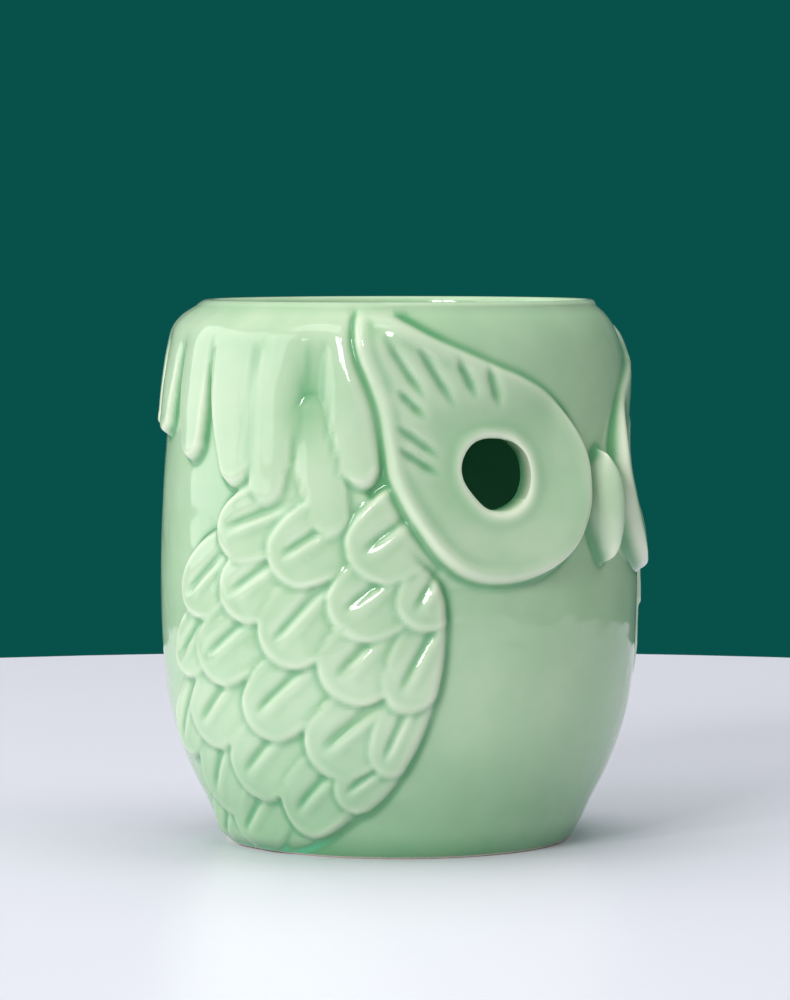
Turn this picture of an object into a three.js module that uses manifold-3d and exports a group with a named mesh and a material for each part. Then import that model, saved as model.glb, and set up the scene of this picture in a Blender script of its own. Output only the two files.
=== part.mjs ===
// Owl oil burner: a slip-cast, glazed ceramic owl with an oil dish sunk into the top of its head.
// A tealight stands in the chamber under the dish. It goes in through the arched doorway in the
// owl's back, and its light leaves through the two open eyes.
//
// Millimetres, +Z up, the owl looks along -Y. The origin is the centre of the flat underside.

import * as THREE from "three";
import { mergeVertices } from "three/addons/utils/BufferGeometryUtils.js";
import Module from "manifold-3d";

// ---------------------------------------------------------------- driving dimensions

// Casting: the side of the plain body, before any relief, runs smoothly through these stations.
// Each is a share of the belly's radius and a per cent of the height.
const height = 110;
const bellyRadius = 48.6;
const sideStations = [[0.712, 0], [0.852, 11.4], [0.963, 24.5], [1, 45.5], [0.986, 68.2], [0.934, 89.1]];
const lipInset = 8.4; // how far the crest of the rounded lip stands in from the belly
const lipThickness = 4.8;
const wall = 6;
const floorThickness = 5.5;

// Oil dish in the top of the head.
const dishDepth = 18;
const dishThickness = 4;

// Facial discs: flat plates that meet beside the beak and sweep up to the lip as brows.
// Outlines are [degrees from the front, per cent of the height] points.
const discMiddle = [33, 70];
const discOutline = [
  [6.3, 69], [9.2, 59], [20, 52], [34, 50], [46, 54.5], [55, 64.5], [59, 75.5],
  [64.5, 89], [66.4, 94.5], [61, 97], [45.3, 93.3], [24, 87], [10.6, 79.5],
];
const discSetBack = 1.2; // how far the middle of the plate stands in from the belly
const discTilt = 0.12; // how much further out the plate stands per millimetre down
const discRimBesideBeak = 4.8;
const discRimBesideWing = 4;
const browRelief = 1.7;

// Eyes: oval holes through the plates.
const eyeMiddle = [32, 69.5];
const eyeWidth = 12;
const eyeTall = 14;

// Beak between the plates.
const beakMiddle = [0, 63.6];
const beakOutline = [[0, 73.2], [5.2, 71], [6.9, 65], [4, 58.2], [0, 53.2]];
const beakRelief = 5.6;

// Wings: raised leaf shapes that carry rows of overlapping feathers.
const wingMiddle = [82, 38.2];
const wingOutline = [
  [48, 53.6], [44.5, 45.5], [46, 31.8], [52.4, 18.9], [68.7, 7.3], [92, 1.3], [125, 1.3],
  [121, 20], [113, 40], [103, 54.5], [94, 68.2], [70, 70], [56, 63.6],
];
const wingRelief = 1.5;
const featherHalfLength = 10.5;
const featherHalfWidth = 6.9;
const featherRelief = 1.5;
const firstFeather = [89.6, 60.9];
const featherPitch = [13.3, 4.55]; // back and down, from one feather to the next along a row
const rowPitch = [6.25, 12.3]; // back and down, from one row to the next
const featherSlope = [62, 40]; // degrees below level, at the front and at the back

// Raised work keeps this far from the foot and from the top of the lip.
const reliefFoot = 1.4;

// Cape: long locks that hang from the shoulder, all round the back of the head.
const lockCount = 9; // from beside the brow to the middle of the back
const firstLockAngle = 68;
const lockTop = 95.5;
const lockTips = [60, 80]; // beside the brow and at the back
const lockHalfWidth = 7.6;
const lockRelief = 1.7;

// Tealight, and the doorway and floor it needs.
const cupRadius = 19;
const cupHeight = 15.5;
const cupWall = 0.3;
const cupBead = 0.6;
const waxDepth = 12.5;
const waxGap = 0.15;
const wickRadius = 0.9;
const wickHeight = 19;
const sustainerRadius = 7;
const sustainerThickness = 0.4;
const sustainerNeckRadius = 1.7;
const sustainerNeckHeight = 3.6;
const seatGap = 0.3; // between the cup and the chamber floor
const doorClearance = 3.2; // each side of the cup's bead
const doorStraight = 21; // height of the doorway's straight sides above the floor

// Fineness of turned and raised faces.
const bodySegments = 80;
const turned = 48;
const merging = 0.12; // flat enough for neighbouring faces to become one

const floorTop = floorThickness;
const dishFloor = height - dishDepth;
const lipRadius = bellyRadius - lipInset;
const mouthRadius = lipRadius - lipThickness / 2;
const discFlat = bellyRadius - discSetBack; // distance of the plate's middle from the owl's axis
const beadMiddle = cupRadius - cupWall + cupBead; // the bead is rolled outwards, clear of the wax
const doorHalfWidth = beadMiddle + cupBead + doorClearance;
const degrees = Math.PI / 180;
const { cos, max, min, sin, sqrt, PI } = Math;
const { clamp, lerp, smoothstep } = THREE.MathUtils;

const wasm = await Module();
wasm.setup();

// ---------------------------------------------------------------- solids and meshes

// A three.js geometry as a manifold-3d solid.
function toSolid(geometry) {
  const bare = geometry.clone();
  for (const name of ["normal", "uv"]) bare.deleteAttribute(name);
  const merged = mergeVertices(bare, 1e-4);
  return new wasm.Manifold(
    new wasm.Mesh({
      numProp: 3,
      vertProperties: merged.attributes.position.array,
      triVerts: new Uint32Array(merged.index.array),
    }),
  );
}

// A manifold-3d solid as a three.js geometry.
function toGeometry(solid) {
  const { vertProperties, triVerts } = solid.getMesh();
  const geometry = new THREE.BufferGeometry();
  geometry.setAttribute("position", new THREE.BufferAttribute(vertProperties, 3));
  geometry.setIndex(new THREE.BufferAttribute(triVerts, 1));
  geometry.computeVertexNormals();
  return geometry;
}

// A turned solid about +Z from a profile of [radius, height] points that starts and ends on the axis,
// going up, with the material on its axis side.
function lathe(profile, segments = turned) {
  const points = profile.map(([r, z]) => new THREE.Vector2(r, z));
  return new THREE.LatheGeometry(points, segments).rotateX(PI / 2);
}

// Points of an arc in a profile, from one angle to another, in degrees.
function arc(r, z, radius, from, to, steps = 5) {
  return Array.from({ length: steps + 1 }, (_, i) => {
    const angle = lerp(from, to, i / steps) * degrees;
    return [r + radius * cos(angle), z + radius * sin(angle)];
  });
}

// ---------------------------------------------------------------- owl body

const lipMiddle = height - lipThickness / 2;

const level = (percent) => (percent * height) / 100;

// Plain outside of the body, from the edge of the foot to the side of the lip.
const bodySide = new THREE.SplineCurve([
  ...sideStations.map(([share, percent]) => new THREE.Vector2(share * bellyRadius, level(percent))),
  new THREE.Vector2(lipRadius + lipThickness / 2, lipMiddle),
]).getPoints(200);

// Radius of the plain body at a height.
function plainRadius(z) {
  const above = bodySide.findIndex((p) => p.y > z);
  const i = above < 0 ? bodySide.length - 1 : max(above, 1);
  const [a, b] = [bodySide[i - 1], bodySide[i]];
  return lerp(a.x, b.x, clamp((z - a.y) / (b.y - a.y), 0, 1));
}

function plainBody() {
  const rows = 26;
  const side = Array.from({ length: rows + 1 }, (_, i) => {
    const z = (lipMiddle * i) / rows;
    return [plainRadius(z), z];
  });
  const lip = arc(lipRadius, lipMiddle, lipThickness / 2, 0, 90).slice(1);
  return lathe([[0, 0], ...side, ...lip, [0, height]], bodySegments);
}

// Raised work is laid out on the unrolled side of the body: s runs from the front of the owl round
// to its back, in millimetres at the belly, and z runs up.
const unroll = ([angle, percent]) => new THREE.Vector2(angle * degrees * bellyRadius, level(percent));

// A closed outline of the given number of points, smooth through a few given ones.
function smoothOutline(points, count) {
  const curve = new THREE.SplineCurve([...points, points[0], points[1]].map(unroll));
  const share = points.length / (points.length + 1);
  return Array.from({ length: count }, (_, i) => curve.getPoint((i / count) * share));
}

// A piece raised on the body inside an outline, with rounded edges. Its height at each spot is
// measured outwards from the plain body. It is rooted in the wall, and side -1 mirrors it.
function raised(outline, middle, heightAt, edge, side, steps = [0.4, 0.75]) {
  const count = outline.length;
  const positions = [];
  const place = (s, z, h) => {
    const angle = (side * s) / bellyRadius;
    const kept = clamp(z, reliefFoot, height - reliefFoot);
    const r = plainRadius(kept) + h;
    positions.push(r * sin(angle), -r * cos(angle), kept);
  };
  const rows = [
    ...steps.map((share) => [share, 1]),
    [1, 1],
    [1 + 0.65 * edge.width, 0.75],
    [1 + edge.width, 0.25],
  ];
  place(middle.x, middle.y, heightAt(middle.x, middle.y));
  for (const [reach, rise] of rows)
    for (const point of outline) {
      const away = point.distanceTo(middle);
      const inner = 1 - edge.width / away;
      const share = reach <= 1 ? reach * inner : inner + (reach - 1) / away;
      const [s, z] = [lerp(middle.x, point.x, share), lerp(middle.y, point.y, share)];
      place(s, z, heightAt(s, z) * rise);
    }
  for (const point of outline) place(point.x, point.y, -edge.root);
  place(middle.x, middle.y, -edge.root);
  const index = [];
  const ring = (row, i) => 1 + row * count + (i % count);
  const last = rows.length;
  for (let i = 0; i < count; i++) {
    index.push(0, ring(0, i), ring(0, i + 1));
    for (let row = 0; row < last; row++) {
      index.push(ring(row, i), ring(row + 1, i), ring(row + 1, i + 1));
      index.push(ring(row, i), ring(row + 1, i + 1), ring(row, i + 1));
    }
    index.push(positions.length / 3 - 1, ring(last, i + 1), ring(last, i));
  }
  if (side * THREE.ShapeUtils.area(outline) < 0) index.reverse();
  const geometry = new THREE.BufferGeometry();
  geometry.setAttribute("position", new THREE.Float32BufferAttribute(positions, 3));
  geometry.setIndex(index);
  return toSolid(geometry);
}

// Height of a facial disc: a flat plate, held down where its rim is low.
function discHeightAt(s, z) {
  const turn = s / bellyRadius - discMiddle[0] * degrees;
  const plate = (discFlat + discTilt * (level(discMiddle[1]) - z)) / cos(turn) - plainRadius(z);
  const rim =
    turn < 0
      ? lerp(discRimBesideBeak, browRelief, smoothstep(z, level(67), level(95)))
      : lerp(discRimBesideWing, browRelief, smoothstep(z, level(53), level(75)));
  const brow = browRelief * smoothstep(z, level(76), level(89));
  return min(max(plate, brow), rim);
}

function disc(side) {
  const outline = smoothOutline(discOutline, 52);
  const edge = { width: 1.6, root: 2 };
  return raised(outline, unroll(discMiddle), discHeightAt, edge, side, [0.3, 0.6, 0.85]);
}

function beak() {
  const mirrored = beakOutline.slice(1, -1).reverse().map(([angle, z]) => [-angle, z]);
  const outline = smoothOutline([...beakOutline, ...mirrored].reverse(), 28);
  const middle = unroll(beakMiddle);
  const heightAt = (s, z) => beakRelief - 0.06 * s * s - 0.012 * (z - middle.y) ** 2;
  return raised(outline, middle, heightAt, { width: 2.2, root: 2 }, 1);
}

// A leaf outline about its middle. Its tip points along a direction, and a positive swell makes the
// half behind the middle broader.
function leaf(middle, direction, halfLength, halfWidth, swell, count) {
  return Array.from({ length: count }, (_, i) => {
    const turn = (i / count) * 2 * PI;
    const forward = halfLength * cos(turn);
    const aside = halfWidth * sin(turn) * (1 - swell * cos(turn));
    return new THREE.Vector2(
      middle.x + forward * direction.x - aside * direction.y,
      middle.y + forward * direction.y + aside * direction.x,
    );
  });
}

// A wing: a raised plate and the rows of feathers that lie on it, each pointing down and back.
function wing(side) {
  const outline = smoothOutline(wingOutline, 48);
  const spans = outline.map((point) => point.x);
  const edge = { width: 1.6, root: 2 };
  const plate = raised(outline, unroll(wingMiddle), () => wingRelief, edge, side, [0.3, 0.6]);
  const pieces = [plate];
  for (let row = -1; row < 7; row++)
    for (let place = -5; place < 8; place++) {
      const middle = unroll([
        firstFeather[0] + row * rowPitch[0] - place * featherPitch[0],
        firstFeather[1] - row * rowPitch[1] - place * featherPitch[1],
      ]);
      if (!holds(outline, middle) || middle.y < featherHalfLength * 0.85) continue;
      const share = (middle.x - min(...spans)) / (max(...spans) - min(...spans));
      const slope = lerp(featherSlope[0], featherSlope[1], share) * degrees;
      const direction = new THREE.Vector2(cos(slope), -sin(slope));
      const heightAt = (s, z) => {
        const toTip = (s - middle.x) * direction.x + (z - middle.y) * direction.y;
        return wingRelief + featherRelief * (0.45 + (0.55 * toTip) / featherHalfLength);
      };
      const feather = leaf(middle, direction, featherHalfLength, featherHalfWidth, 0, 12);
      pieces.push(raised(feather, middle, heightAt, { width: 1.3, root: 1 }, side, []));
    }
  return pieces;
}

// Whether a point lies inside an outline.
function holds(outline, point) {
  let inside = false;
  outline.forEach((a, i) => {
    const b = outline[(i + 1) % outline.length];
    const crosses = a.y > point.y !== b.y > point.y;
    if (crosses && point.x < lerp(a.x, b.x, (point.y - a.y) / (b.y - a.y))) inside = !inside;
  });
  return inside;
}

// One half of the cape. The lock in the middle of the back belongs to one half only.
function cape(side) {
  const pieces = [];
  for (let i = 0; i < lockCount; i++) {
    const share = i / (lockCount - 1);
    if (share === 1 && side < 0) continue;
    const tip = lerp(lockTips[0], lockTips[1], sqrt(share));
    const middle = unroll([lerp(firstLockAngle, 180, share), (lockTop + tip) / 2]);
    const direction = new THREE.Vector2(share === 1 ? 0 : 0.09, -1).normalize();
    const halfLength = level(lockTop - tip) / 2;
    const outline = leaf(middle, direction, halfLength, lockHalfWidth, 0.35, 16);
    pieces.push(raised(outline, middle, () => lockRelief, { width: 2.6, root: 1.5 }, side, [0.5]));
  }
  return pieces;
}

// The hollow of the oil dish, with the inner half of the lip.
function dishHollow() {
  const above = height + 1;
  return lathe([
    [0, dishFloor],
    [mouthRadius * 0.6, dishFloor + dishDepth * 0.03],
    [mouthRadius * 0.8, dishFloor + dishDepth * 0.17],
    [mouthRadius * 0.92, dishFloor + dishDepth * 0.4],
    [mouthRadius * 0.98, dishFloor + dishDepth * 0.64],
    ...arc(lipRadius, lipMiddle, lipThickness / 2, 180, 90, 4),
    [lipRadius, above],
    [0, above],
  ]);
}

// The chamber: a hollow of even wall that folds round the underside of the dish.
function chamberHollow() {
  const ceiling = dishFloor - dishThickness;
  const foot = floorTop + 4;
  const fold = dishFloor + dishDepth * 0.25;
  const side = Array.from({ length: 11 }, (_, i) => {
    const z = lerp(foot, fold, i / 10);
    return [plainRadius(z) - wall, z];
  });
  return lathe([
    [0, floorTop],
    [plainRadius(foot) - wall - 3, floorTop],
    ...side,
    [(mouthRadius + plainRadius(fold) - wall) / 2, fold + 2],
    [mouthRadius * 0.8 + dishThickness, dishFloor],
    [mouthRadius * 0.7, ceiling + dishDepth * 0.05],
    [0, ceiling],
  ]);
}

// An oval cutter through the wall along an eye's own direction.
function eyeHole(side) {
  const cutter = new THREE.CylinderGeometry(1, 1, 30, 28)
    .scale(eyeWidth / 2, 1, eyeTall / 2)
    .translate(0, -bellyRadius + 5, 0)
    .rotateZ(side * eyeMiddle[0] * degrees)
    .translate(0, 0, level(eyeMiddle[1]));
  return toSolid(cutter);
}

// The arched doorway that the tealight slides through.
function doorway() {
  const arch = new THREE.Shape();
  arch.moveTo(-doorHalfWidth, 0);
  arch.lineTo(doorHalfWidth, 0);
  arch.lineTo(doorHalfWidth, doorStraight);
  arch.absarc(0, doorStraight, doorHalfWidth, 0, PI, false);
  const depth = bellyRadius;
  const cutter = new THREE.ExtrudeGeometry(arch, { depth, bevelEnabled: false, curveSegments: 16 });
  cutter.rotateX(PI / 2).translate(0, depth + 20, floorTop);
  return toSolid(cutter);
}

function owlBody() {
  const raisedWork = [1, -1].flatMap((side) => [disc(side), ...wing(side), ...cape(side)]);
  const hollows = [toSolid(dishHollow()), toSolid(chamberHollow()), eyeHole(-1), eyeHole(1), doorway()];
  const outside = wasm.Manifold.union([toSolid(plainBody()), beak(), ...raisedWork]);
  const cast = outside.subtract(wasm.Manifold.union(hollows));
  return toGeometry(cast.asOriginal().simplify(merging));
}

// ---------------------------------------------------------------- tealight
// Each piece is turned about the tealight's own axis, with the underside of the cup at z = 0.

function tealightCup() {
  const inside = cupRadius - cupWall;
  return lathe([
    [0, 0],
    [cupRadius - 1, 0],
    [cupRadius, 1],
    [cupRadius, cupHeight - 2 * cupBead],
    ...arc(beadMiddle, cupHeight - cupBead, cupBead, -90, 180, 8),
    [inside, 1 + cupWall],
    [inside - 1, cupWall],
    [0, cupWall],
  ]);
}

function wickSustainer() {
  const bore = wickRadius + waxGap;
  const underside = cupWall + waxGap;
  const top = underside + sustainerThickness;
  return lathe([
    [bore, underside],
    [sustainerRadius, underside],
    [sustainerRadius, top],
    [sustainerNeckRadius + 0.6, top],
    [sustainerNeckRadius, top + 0.6],
    [sustainerNeckRadius, underside + sustainerNeckHeight],
    [bore, underside + sustainerNeckHeight],
    [bore, underside],
  ]);
}

function tealightWick() {
  const foot = cupWall + waxGap;
  const tip = foot + wickHeight;
  const taper = [[wickRadius, tip - 0.8], [wickRadius * 0.5, tip]];
  return lathe([[0, foot], [wickRadius, foot], ...taper, [0, tip]], 16);
}

// The wax fills the cup round the sustainer and the wick, and climbs a little at both.
function tealightWax() {
  const outside = cupRadius - cupWall - waxGap;
  const bore = wickRadius + waxGap;
  const foot = cupWall + waxGap;
  const overDisc = foot + sustainerThickness + waxGap;
  const overNeck = foot + sustainerNeckHeight + waxGap;
  const top = foot + waxDepth;
  return lathe([
    [bore, overNeck],
    [sustainerNeckRadius + 0.6 + waxGap, overNeck],
    [sustainerNeckRadius + 0.6 + waxGap, overDisc],
    [sustainerRadius + waxGap, overDisc],
    [sustainerRadius + waxGap, foot],
    [outside - 1, foot],
    [outside, foot + 1],
    [outside, top + 0.4],
    [outside - 1.5, top],
    [wickRadius + 2.5, top],
    [bore, top + 0.6],
    [bore, overNeck],
  ]);
}

// ---------------------------------------------------------------- materials and assembly

const celadonGlaze = new THREE.MeshStandardMaterial({ color: 0xa6cba6, roughness: 0.08, metalness: 0 });
const aluminium = new THREE.MeshStandardMaterial({ color: 0xd0d2d4, roughness: 0.3, metalness: 1 });
const paraffin = new THREE.MeshStandardMaterial({ color: 0xf4f1e8, roughness: 0.45, metalness: 0 });
const cotton = new THREE.MeshStandardMaterial({ color: 0xf1ead9, roughness: 0.9, metalness: 0 });
const tinplate = new THREE.MeshStandardMaterial({ color: 0xb9bbbd, roughness: 0.35, metalness: 1 });

function named(name, geometry, material) {
  const mesh = new THREE.Mesh(geometry, material);
  mesh.name = name;
  return mesh;
}

const tealight = new THREE.Group();
tealight.position.z = floorTop + seatGap;
tealight.add(
  named("tealight_cup", tealightCup(), aluminium),
  named("wick_sustainer", wickSustainer(), tinplate),
  named("tealight_wax", tealightWax(), paraffin),
  named("tealight_wick", tealightWick(), cotton),
);

const owl = new THREE.Group();
owl.add(named("owl_body", owlBody(), celadonGlaze), tealight);

export default owl;
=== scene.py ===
import math

import bmesh
import bpy
import numpy as np
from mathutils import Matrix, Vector
from mathutils.bvhtree import BVHTree


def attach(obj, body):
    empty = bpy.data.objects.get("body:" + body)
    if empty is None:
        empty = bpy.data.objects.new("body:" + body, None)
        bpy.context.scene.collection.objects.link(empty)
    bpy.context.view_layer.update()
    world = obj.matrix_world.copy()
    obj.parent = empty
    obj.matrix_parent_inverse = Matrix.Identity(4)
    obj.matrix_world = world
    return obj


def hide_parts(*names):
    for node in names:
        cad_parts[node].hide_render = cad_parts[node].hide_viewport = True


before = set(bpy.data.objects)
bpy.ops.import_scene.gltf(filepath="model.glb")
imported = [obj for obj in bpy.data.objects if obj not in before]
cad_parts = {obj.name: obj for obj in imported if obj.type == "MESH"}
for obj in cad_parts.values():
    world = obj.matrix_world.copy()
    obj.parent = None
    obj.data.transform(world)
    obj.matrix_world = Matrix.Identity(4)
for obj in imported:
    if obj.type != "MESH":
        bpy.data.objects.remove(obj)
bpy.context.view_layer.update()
mm = 0.001

# The camera stands low, on the owl's right, and sees it a little turned away.
camera = {"azimuth": -55, "distance": 883, "height": 124, "aimHeight": 68.9, "aimAside": -0.8, "lens": 155.6}


def aroundOwl(azimuth, distance, height):
    turn = math.radians(azimuth)
    return Vector((math.sin(turn) * distance, -math.cos(turn) * distance, height)) * mm


def placed(name, data):  # a new object in the scene
    item = bpy.data.objects.new(name, data)
    bpy.context.scene.collection.objects.link(item)
    return item


def pointAt(item, place, target):
    item.location = place
    item.rotation_euler = (target - place).to_track_quat("-Z", "Y").to_euler()


def makeCamera():
    data = bpy.data.cameras.new("camera")
    data.lens = camera["lens"]
    data.clip_start = 0.01
    item = placed("camera", data)
    turn = math.radians(camera["azimuth"])
    aside = Vector((math.cos(turn), math.sin(turn), 0)) * camera["aimAside"] * mm
    target = aside + Vector((0, 0, camera["aimHeight"] * mm))
    pointAt(item, aroundOwl(camera["azimuth"], camera["distance"], camera["height"]), target)
    bpy.context.scene.camera = item
    bpy.context.scene.view_settings.view_transform = "Standard"  # keeps the glaze's own greens


makeCamera()
print("camera placed")


# Small helpers.

def addNode(tree, kind, inputs=None, **settings):  # a node given as an input stands for its first output
    node = tree.nodes.new(kind)
    for key, value in settings.items():
        setattr(node, key, value)
    for key, value in (inputs or {}).items():
        if isinstance(value, bpy.types.Node):
            value = value.outputs[0]
        if isinstance(value, bpy.types.NodeSocket):
            tree.links.new(value, node.inputs[key])
        else:
            node.inputs[key].default_value = value
    return node


def newMaterial(name):  # an empty material, and the place that its patterns start from
    material = bpy.data.materials.new(name)
    material.use_nodes = True
    tree = material.node_tree
    tree.nodes.clear()
    return material, tree, addNode(tree, "ShaderNodeTexCoord").outputs["Object"]


def shaded(material, values):  # ends the material with its shader
    shader = addNode(material.node_tree, "ShaderNodeBsdfPrincipled", values)
    addNode(material.node_tree, "ShaderNodeOutputMaterial", {"Surface": shader})
    return material


def newGroup(name, inputs, output):  # an empty Geometry Nodes group with its inputs and one output
    tree = bpy.data.node_groups.new(name, "GeometryNodeTree")
    for label, kind, value in inputs:
        socket = tree.interface.new_socket(name=label, in_out="INPUT", socket_type="NodeSocket" + kind)
        if value is not None:
            socket.default_value = value
    tree.interface.new_socket(name=output, in_out="OUTPUT", socket_type="NodeSocketGeometry")
    return tree, addNode(tree, "NodeGroupInput").outputs


def runGroup(item, name, tree, values):  # adds a modifier that runs the group with these values
    modifier = item.modifiers.new(name, "NODES")
    modifier.node_group = tree
    for socket in tree.interface.items_tree:
        if socket.in_out == "INPUT" and socket.name in values:
            modifier[socket.identifier] = values[socket.name]


def finalMesh(item):  # what the object's modifiers make of it
    shown = item.evaluated_get(bpy.context.evaluated_depsgraph_get())
    return bpy.data.meshes.new_from_object(shown)


def cornersOf(mesh):
    corners = np.empty(len(mesh.vertices) * 3)
    mesh.vertices.foreach_get("co", corners)
    return corners.reshape(-1, 3)


def linear(hexColour):  # sRGB hex to linear RGBA
    channels = [int(hexColour[i:i + 2], 16) / 255 for i in (0, 2, 4)]
    return [c / 12.92 if c <= 0.04045 else ((c + 0.055) / 1.055) ** 2.4 for c in channels] + [1.0]


def makeMesh(name, points, faces):
    mesh = bpy.data.meshes.new(name)
    mesh.from_pydata((np.asarray(points) * mm).tolist(), [], faces)
    mesh.update()
    mesh.shade_smooth()
    return placed(name, mesh)


def smoothStep(x, low, high):
    t = np.clip((x - low) / (high - low), 0, 1)
    return t * t * (3 - 2 * t)


def through(points, at):  # smooth curve through [x, y] points, x rising
    x, y = np.array(points, float).T
    slope = np.gradient(y, x)
    k = np.clip(np.searchsorted(x, at) - 1, 0, len(x) - 2)
    span = x[k + 1] - x[k]
    t = np.clip((at - x[k]) / span, 0, 1)
    ease = t * t * (3 - 2 * t)
    bend = slope[k] * span * t * (1 - t) ** 2 - slope[k + 1] * span * t * t * (1 - t)
    return y[k] * (1 - ease) + y[k + 1] * ease + bend


def closedOutline(points, count):  # smooth closed outline through a few points
    points = np.array(points, float)
    t = np.arange(count) / count * len(points)
    k = t.astype(int)
    t = (t - k)[:, None]
    a, b, c, d = (points[(k + i) % len(points)] for i in (-1, 0, 1, 2))
    return 0.5 * (2 * b + (c - a) * t + (2 * a - 5 * b + 4 * c - d) * t * t + (3 * b - a - 3 * c + d) * t ** 3)


def insideBy(outline, s, z):  # how far each place lies inside an outline, negative outside
    nearest = np.full(s.shape, 1e9)
    inside = np.zeros(s.shape, bool)
    for (ax, ay), (bx, by) in zip(outline, np.roll(outline, -1, 0)):
        dx, dy = bx - ax, by - ay
        t = np.clip(((s - ax) * dx + (z - ay) * dy) / (dx * dx + dy * dy + 1e-12), 0, 1)
        nearest = np.minimum(nearest, (s - ax - t * dx) ** 2 + (z - ay - t * dy) ** 2)
        if ay != by:
            inside ^= ((ay > z) != (by > z)) & (s < ax + (z - ay) * dx / dy)
    return np.where(inside, 1, -1) * np.sqrt(nearest)


def roundOver(depth, width):  # 0 at an edge, rising to 1 over a quarter-round of the given width
    return np.sqrt(1 - (1 - np.clip(depth / width, 0, 1)) ** 2)


def melted(a, b):  # the higher of two reliefs, with a soft join
    return np.log(np.exp(5 * a) + np.exp(5 * b) - 1) / 5


def blurred(field, width):  # Gaussian blur, edges held
    reach = int(3 * width / flat["step"]) + 1
    kernel = np.exp(-0.5 * (np.arange(-reach, reach + 1) * flat["step"] / width) ** 2)
    kernel /= kernel.sum()
    for axis in (0, 1):
        pad = [(reach, reach) if i == axis else (0, 0) for i in (0, 1)]
        wide = np.pad(field, pad, mode="edge")
        size = field.shape[axis]
        field = sum(w * np.take(wide, range(i, i + size), axis) for i, w in enumerate(kernel))
    return field


# The plain body.

body = {
    "height": 110,
    "belly": 48.6,  # radius at which the side is unrolled
    "mouth": 37.8,  # radius of the dish at its mouth
    "lipRound": 1.2,  # how round the top of the lip is
    # height and radius of the plain side
    "side": [(0, 35.2), (4.9, 37.9), (8.6, 39.6), (13, 41.9), (19.5, 44.6), (27, 46.8), (35.6, 48.0),
             (46, 48.6), (56, 48.7), (66, 48.4), (74, 48.0), (84, 47.2), (95, 46.1), (100, 45.3),
             (103.2, 44.4), (105.6, 43.2), (107.4, 41.8), (108.8, 40.3)],
    # mesh spacing round the body: how far round in degrees, and the step in mm
    "columns": [(122, 1.15), (180, 1.6)],
    "rowStep": 1.15,
    # how many faces are halved each way, and how far round a crease that reaches
    "finer": [(11500, 3.0), (9500, 0.6)],
}
flat = {"step": 0.25}  # spacing of the relief map
sideTop = body["height"] - body["lipRound"]

sLine = np.arange(0, math.pi * body["belly"] + flat["step"], flat["step"])
zLine = np.arange(0, body["height"] + flat["step"], flat["step"])
along, up = np.meshgrid(sLine, zLine, indexing="ij")
turnMap = along / body["belly"]


def sideAt(z):
    return through(body["side"], z)


plain = sideAt(up)


def unrolled(points):  # [degrees from the front, height] to places on the unrolled side
    points = np.array(points, float)
    return np.stack([np.radians(points[..., 0]) * body["belly"], points[..., 1]], -1)


# Facial discs.

disc = {
    "outline": [(6.3, 76), (7.4, 69), (11.4, 62.4), (17.4, 58), (25.3, 55.6), (33.8, 55.1), (40.6, 56.6),
                (46.1, 60), (50.5, 64.7), (54.8, 70.5), (57.6, 76), (59, 82), (60.4, 89), (62.7, 94.3),
                (65.0, 99), (66.3, 104), (66.2, 108.6), (62.5, 110), (58, 108.4), (52.5, 106), (45.3, 103),
                (38.2, 100.5), (30.9, 97.9), (23.3, 95.4), (16.5, 92.2), (10.8, 87.3), (7.2, 81.5)],
    "middle": (33, 77),
    "flat": 47.2, "tilt": 0.12, "flare": 1.5,  # how far out its face is, its lean, and how far its foot flares
    "besideBeak": 4.8, "besideWing": 3.7, "brow": 1.7, "ear": 1.2,  # how proud its edge is at each
    "mostProud": 2.2, "soft": 1.6,  # how tightly its face follows those, and the plain side
    "edge": (2.3, 1.4),  # how wide its rounded edge is at the bottom and along the brow
    "bead": 0.6, "beadIn": 2.3, "beadWidth": 1.2,  # the raised line just inside its edge
    "hollow": 0.5, "hollowRadius": 13,
    # ends of the pressed lashes, outer end first
    "lashes": [((58.4, 103.2), (48.8, 91.0)), ((50.2, 101.1), (41.8, 89.8)), ((40.8, 99.5), (36.4, 91.3)),
               ((33.2, 97.7), (30.5, 89.5)), ((55.2, 93.1), (48.8, 87.5)), ((55.2, 86.0), (45.5, 79.9)),
               ((54.8, 81.7), (45.6, 76.6))],
    "lashDepth": 0.85, "lashWidth": 1.05,
}


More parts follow.
